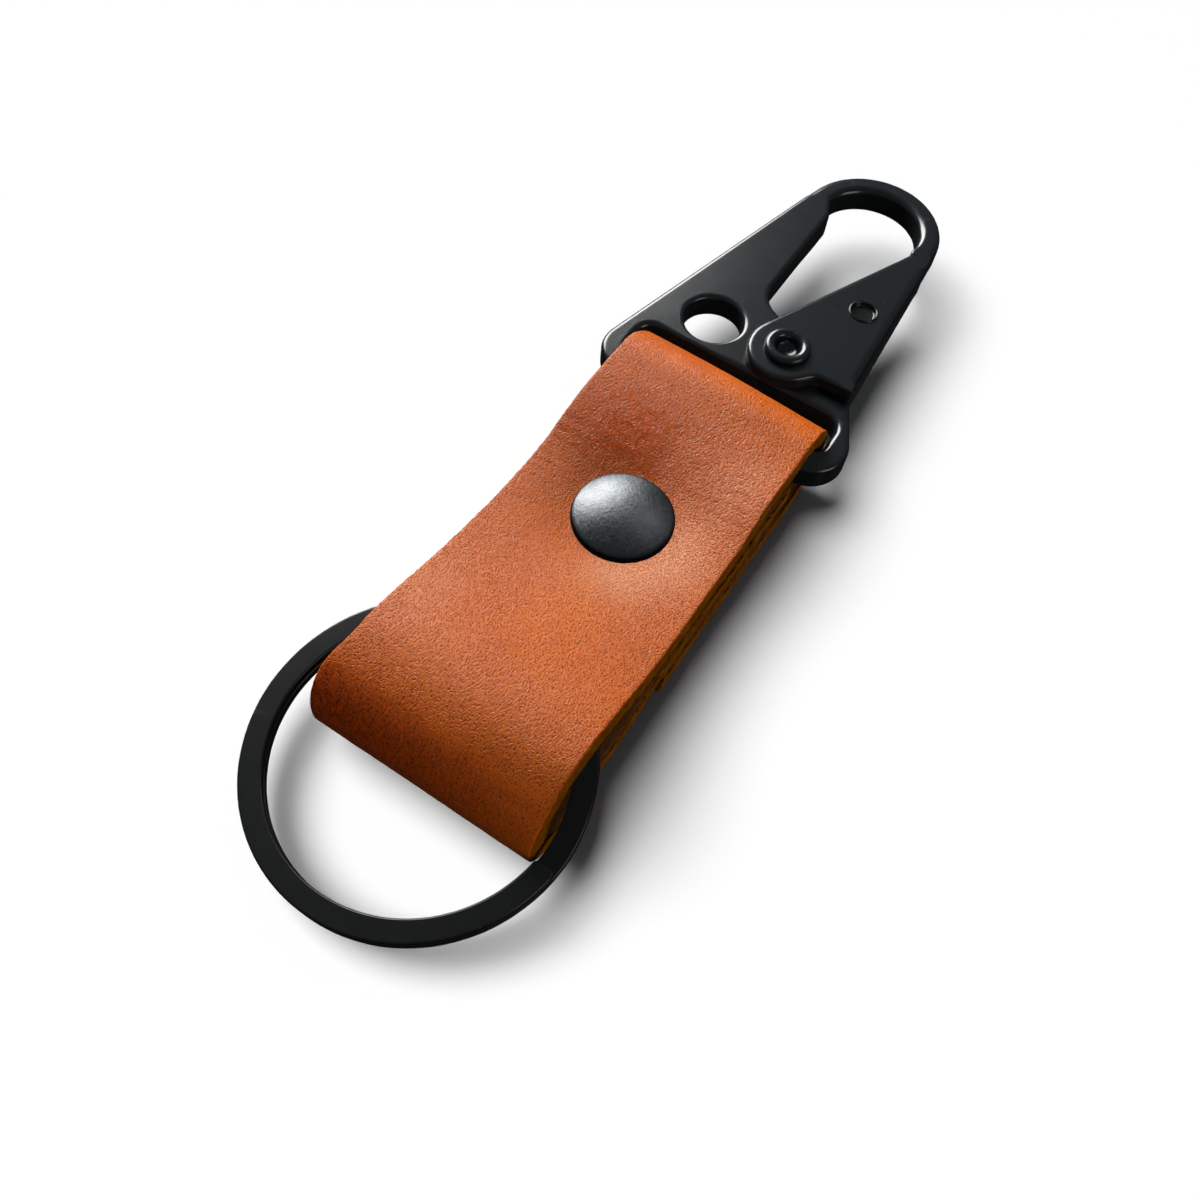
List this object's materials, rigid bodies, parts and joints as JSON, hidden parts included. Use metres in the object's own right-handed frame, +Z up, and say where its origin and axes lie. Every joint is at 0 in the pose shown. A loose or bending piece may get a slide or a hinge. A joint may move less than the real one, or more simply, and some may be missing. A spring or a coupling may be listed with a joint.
{
  "type": "leather key strap with snap clip",
  "caption": "Folded leather key strap, riveted through its layers, with a sprung-gate snap clip on a slot bar at one end and a flat split ring in a loop at the other.",
  "frame": {"origin": "middle of the footprint, on the surface that the strap lies on", "axes": "+X along the strap from the split ring to the clip's hook, +Y across the strap away from the gate, +Z up"},
  "size_m": [0.1208, 0.0354, 0.0134],
  "materials": {
    "leather": "waxed pull-up leather with fine grain and raw cut edges",
    "black_metal": "satin black coating",
    "gunmetal": "smooth satin gunmetal plating",
    "ring_black": "matte black coating",
    "spring_steel": "bright wire"
  },
  "bodies": {
    "strap": {"leather_strap": "leather", "strap_rivet_cap": "gunmetal", "strap_rivet_post": "gunmetal", "strap_rivet_back_cap": "gunmetal"},
    "clip": {"clip_body": "black_metal", "gate_pivot_rivet": "black_metal", "gate_spring": "spring_steel"},
    "gate": {"gate_lever": "black_metal", "spring_pin": "black_metal"},
    "ring": {"split_ring": "ring_black"}
  },
  "joints": [
    {"name": "clip_swing", "type": "hinge", "parent": "strap", "child": "clip", "pos_m": [0.01186, -0.00111, 0.00627], "axis": [0, -1, 0], "range_deg": [-88, 88]},
    {"name": "gate_open", "type": "hinge", "parent": "clip", "child": "gate", "pos_m": [0.02344, -0.00453, 0.00691], "axis": [-0.055, 0, 0.9985], "range_deg": [0, 25], "stiffness_Nm_per_rad": 0.12, "springref_deg": -22.92, "deforming": ["gate_spring"]},
    {"name": "ring_turn", "type": "hinge", "parent": "strap", "child": "ring", "pos_m": [-0.04294, 0.00019, 0.00475], "axis": [-0.1253, 0.0415, 0.9912], "continuous": true}
  ]
}
